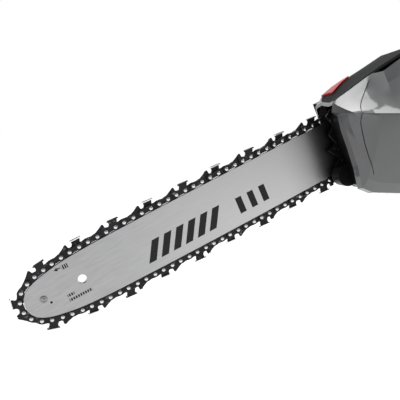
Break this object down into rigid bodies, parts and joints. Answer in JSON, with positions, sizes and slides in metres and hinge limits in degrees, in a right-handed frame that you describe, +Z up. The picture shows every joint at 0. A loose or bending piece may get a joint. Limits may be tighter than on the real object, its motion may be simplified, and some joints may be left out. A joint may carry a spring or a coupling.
{
  "type": "telescoping pole saw",
  "caption": "Battery pole saw: a saw head with guide bar and chain on a telescoping pole, with a rear loop handle.",
  "frame": {"origin": "centre of the bounding box in plan, at the level that the tool stands on", "axes": "+X along the pole towards the handle, +Y towards the sprocket cover, +Z up"},
  "size_m": [1.8286, 0.1124, 0.2787],
  "materials": {
    "grey_shell": "smooth gloss, light grey",
    "dark_plastic": "fine matt texture, dark grey",
    "black_plastic": "fine matt texture, black",
    "red_plastic": "satin gloss, red",
    "bar_steel": "satin ground along the bar",
    "chain_steel": "dark oiled steel",
    "bright_steel": "bright plated steel",
    "aluminium": "drawn, satin",
    "pole_coat": "black powder coat",
    "copper": "wound copper and plated contacts",
    "rubber": "soft, matt, black",
    "foam": "closed-cell foam, matt",
    "tank": "blow-moulded, natural",
    "board": "coated circuit board",
    "battery": "fine matt texture, dark grey"
  },
  "bodies": {
    "handle": {"outer_tube": "pole_coat", "clamp_collar": "black_plastic", "lever_pin": "bright_steel", "foam_grip": "foam", "strap_clamp": "black_plastic", "handle_left": "black_plastic", "handle_right": "black_plastic", "handle_screw_1": "bright_steel", "handle_screw_2": "bright_steel", "handle_screw_3": "bright_steel", "grip_overmould": "rubber", "trigger_pin": "bright_steel", "trigger_switch": "black_plastic", "controller_board": "board", "battery_shoe": "black_plastic", "terminal_block": "copper", "power_lead": "rubber"},
    "head": {"head_shell_left": "grey_shell", "head_shell_right": "black_plastic", "gear_case": "black_plastic", "top_hood": "dark_plastic", "red_accent": "red_plastic", "motor_bearing_front": "bright_steel", "motor_bearing_rear": "bright_steel", "motor_can": "aluminium", "motor_stator": "copper", "oil_tank": "tank", "oil_pump": "aluminium", "bumper_spike": "chain_steel", "sprocket_cover": "black_plastic", "bar_stud_front": "bright_steel", "bar_nut_front": "bright_steel", "bar_stud_rear": "bright_steel", "bar_nut_rear": "bright_steel", "chain_catcher": "black_plastic", "pole_neck": "aluminium", "neck_screw_1": "bright_steel", "neck_screw_2": "bright_steel", "inner_tube": "aluminium", "slide_bush": "black_plastic"},
    "drive": {"motor_rotor": "chain_steel", "motor_shaft": "bright_steel", "drive_sprocket": "chain_steel", "sprocket_clip": "bright_steel"},
    "bar": {"bar_side_left": "bar_steel", "bar_core": "bar_steel", "bar_side_right": "bar_steel", "nose_rivet": "bright_steel", "saw_chain": "chain_steel", "tension_pin": "chain_steel"},
    "nose_wheel": {"nose_sprocket": "chain_steel"},
    "tension_screw": {"tension_screw": "bright_steel"},
    "oil_cap": {"oil_cap": "red_plastic"},
    "lock_lever": {"lock_lever": "red_plastic"},
    "strap_ring": {"strap_ring": "bright_steel"},
    "trigger": {"trigger": "red_plastic"},
    "lock_off_button": {"lock_off_button": "red_plastic"},
    "battery": {"battery_pack": "battery"},
    "battery_latch": {"battery_latch": "red_plastic"}
  },
  "joints": [
    {"name": "telescope", "type": "slide", "parent": "handle", "child": "head", "axis": [-1, 0, 0], "range_m": [0, 0.55], "deforming": ["power_lead"]},
    {"name": "lever_flip", "type": "hinge", "parent": "handle", "child": "lock_lever", "pos_m": [-0.24373, 0.02925, 0.18424], "axis": [-1, 0, 0], "range_deg": [0, 110]},
    {"name": "bar_tension", "type": "slide", "parent": "head", "child": "bar", "axis": [0.9092, 0, 0.4163], "range_m": [0, 0.006]},
    {"name": "tension_screw_turn", "type": "hinge", "parent": "head", "child": "tension_screw", "pos_m": [-0.54246, 0.00855, 0.17103], "axis": [0.9092, 0, 0.4163], "range_deg": [0, 2160]},
    {"name": "drive_spin", "type": "hinge", "parent": "head", "child": "drive", "pos_m": [-0.49373, 0.01575, 0.20874], "axis": [0, 1, 0], "continuous": true},
    {"name": "nose_spin", "type": "hinge", "parent": "bar", "child": "nose_wheel", "pos_m": [-0.88625, 0.01575, 0.02903], "axis": [0, 1, 0], "continuous": true},
    {"name": "oil_cap_turn", "type": "hinge", "parent": "head", "child": "oil_cap", "pos_m": [-0.43173, -0.04925, 0.15674], "axis": [0, -1, 0], "range_deg": [0, 90]},
    {"name": "strap_swing", "type": "hinge", "parent": "handle", "child": "strap_ring", "pos_m": [0.47127, 0.00175, 0.15384], "axis": [1, 0, 0], "range_deg": [-75, 75]},
    {"name": "trigger_pull", "type": "hinge", "parent": "handle", "child": "trigger", "pos_m": [0.63827, 0.00175, 0.17274], "axis": [0, -1, 0], "range_deg": [0, 12], "stiffness_Nm_per_rad": 0.5},
    {"name": "lock_off_press", "type": "slide", "parent": "handle", "child": "lock_off_button", "axis": [0, 1, 0], "range_m": [0, 0.003], "stiffness_N_per_m": 400},
    {"name": "battery_slide", "type": "slide", "parent": "handle", "child": "battery", "axis": [1, 0, 0], "range_m": [0, 0.12]},
    {"name": "latch_press", "type": "slide", "parent": "battery", "child": "battery_latch", "axis": [-1, 0, 0], "range_m": [0, 0.003], "stiffness_N_per_m": 500}
  ],
  "couplings": [
    {"joint": "nose_spin", "follows": "drive_spin", "ratio": 0.85714},
    {"joint": "tension_screw_turn", "follows": "bar_tension", "rad_per_m": 6283.2}
  ]
}
